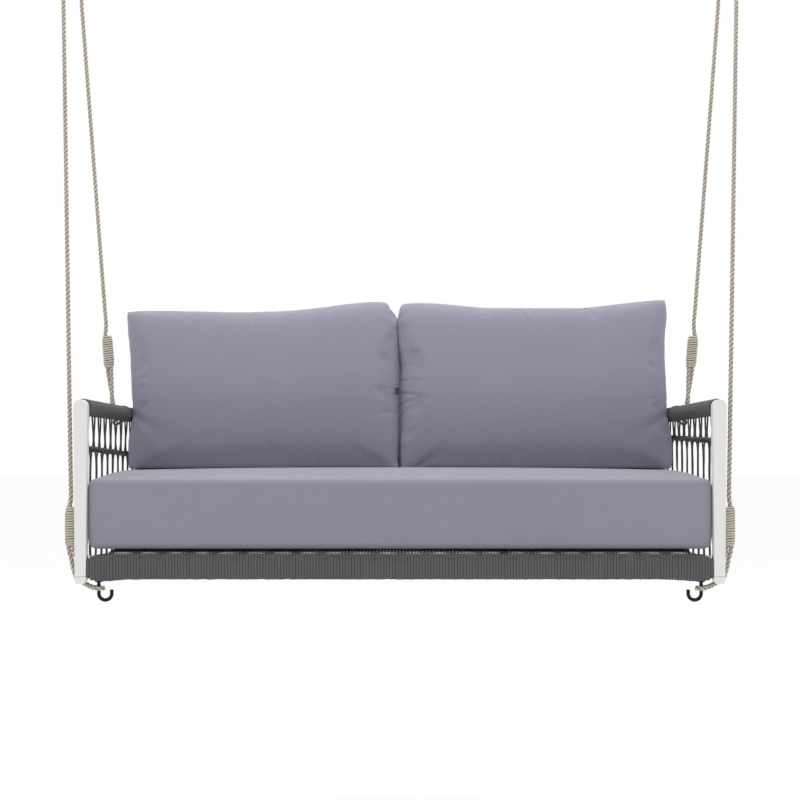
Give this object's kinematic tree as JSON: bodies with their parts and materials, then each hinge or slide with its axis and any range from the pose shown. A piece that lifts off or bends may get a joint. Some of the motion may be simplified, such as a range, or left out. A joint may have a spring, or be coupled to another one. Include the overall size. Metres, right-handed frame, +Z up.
{
  "type": "porch swing",
  "caption": "Two-seat hanging porch swing with a rope-wrapped frame, woven sides, seat and back, loose box cushions and laid ropes to ceiling plates.",
  "frame": {"origin": "in the ceiling plane, midway between the two ceiling plates and directly over the hinge line", "axes": "+Z up, +Y from the front of the seat towards its backrest, +X to the right as seen from the front"},
  "size_m": [1.9712, 0.8077, 1.9968],
  "materials": {
    "white_powder_coat": "satin",
    "bare_aluminium": "satin",
    "dark_rope": "matte",
    "tan_rope": "matte",
    "black_steel": "satin",
    "cushion_fabric": "matte",
    "zip_tab": "matte"
  },
  "bodies": {
    "ceiling": {"ceiling_plate_left": "black_steel", "ceiling_plate_right": "black_steel", "hanger_pin_left": "black_steel", "hanger_pin_right": "black_steel", "ceiling_screw_inner_left": "black_steel", "ceiling_screw_inner_right": "black_steel", "ceiling_screw_outer_left": "black_steel", "ceiling_screw_outer_right": "black_steel"},
    "swing": {"front_rail": "bare_aluminium", "front_rail_wrap": "dark_rope", "rear_rail": "white_powder_coat", "seat_weave": "dark_rope", "back_rail": "bare_aluminium", "back_rail_wrap": "dark_rope", "back_weave": "dark_rope", "front_post_left": "white_powder_coat", "front_post_right": "white_powder_coat", "front_foot_left": "white_powder_coat", "front_foot_right": "white_powder_coat", "arm_tube_left": "bare_aluminium", "arm_tube_right": "bare_aluminium", "arm_wrap_left": "dark_rope", "arm_wrap_right": "dark_rope", "arm_hook_left": "black_steel", "arm_hook_right": "black_steel", "side_rail_left": "white_powder_coat", "side_rail_right": "white_powder_coat", "side_weave_left": "dark_rope", "side_weave_right": "dark_rope", "rear_post_left": "white_powder_coat", "rear_post_right": "white_powder_coat", "rear_foot_left": "white_powder_coat", "rear_foot_right": "white_powder_coat", "seat_cross_bar_left": "white_powder_coat", "seat_cross_bar_right": "white_powder_coat", "rail_hook_left": "black_steel", "rail_hook_right": "black_steel", "hook_nut_left": "black_steel", "hook_nut_right": "black_steel", "yoke_left": "black_steel", "yoke_right": "black_steel", "rope_front_left": "tan_rope", "rope_front_right": "tan_rope", "rope_rear_left": "tan_rope", "rope_rear_right": "tan_rope", "seizing_front_low_left": "tan_rope", "seizing_front_low_right": "tan_rope", "seizing_rear_low_left": "tan_rope", "seizing_rear_low_right": "tan_rope", "seizing_front_top_left": "tan_rope", "seizing_front_top_right": "tan_rope", "seizing_rear_top_left": "tan_rope", "seizing_rear_top_right": "tan_rope"},
    "seat_cushion": {"seat_cushion": "cushion_fabric"},
    "back_cushion_left": {"back_cushion_left": "cushion_fabric", "zip_pull": "zip_tab"},
    "back_cushion_right": {"back_cushion_right": "cushion_fabric"}
  },
  "joints": [
    {"name": "swing_hinge", "type": "hinge", "parent": "ceiling", "child": "swing", "pos_m": [0, 0, -0.06], "axis": [1, 0, 0], "range_deg": [-25, 25]},
    {"name": "seat_cushion_lift", "type": "slide", "parent": "swing", "child": "seat_cushion", "axis": [0, 0, 1], "range_m": [0, 0.18]},
    {"name": "back_cushion_left_lift", "type": "slide", "parent": "seat_cushion", "child": "back_cushion_left", "axis": [0, 0.1191, 0.9929], "range_m": [0, 0.3]},
    {"name": "back_cushion_right_lift", "type": "slide", "parent": "seat_cushion", "child": "back_cushion_right", "axis": [0, 0.1191, 0.9929], "range_m": [0, 0.3]}
  ]
}
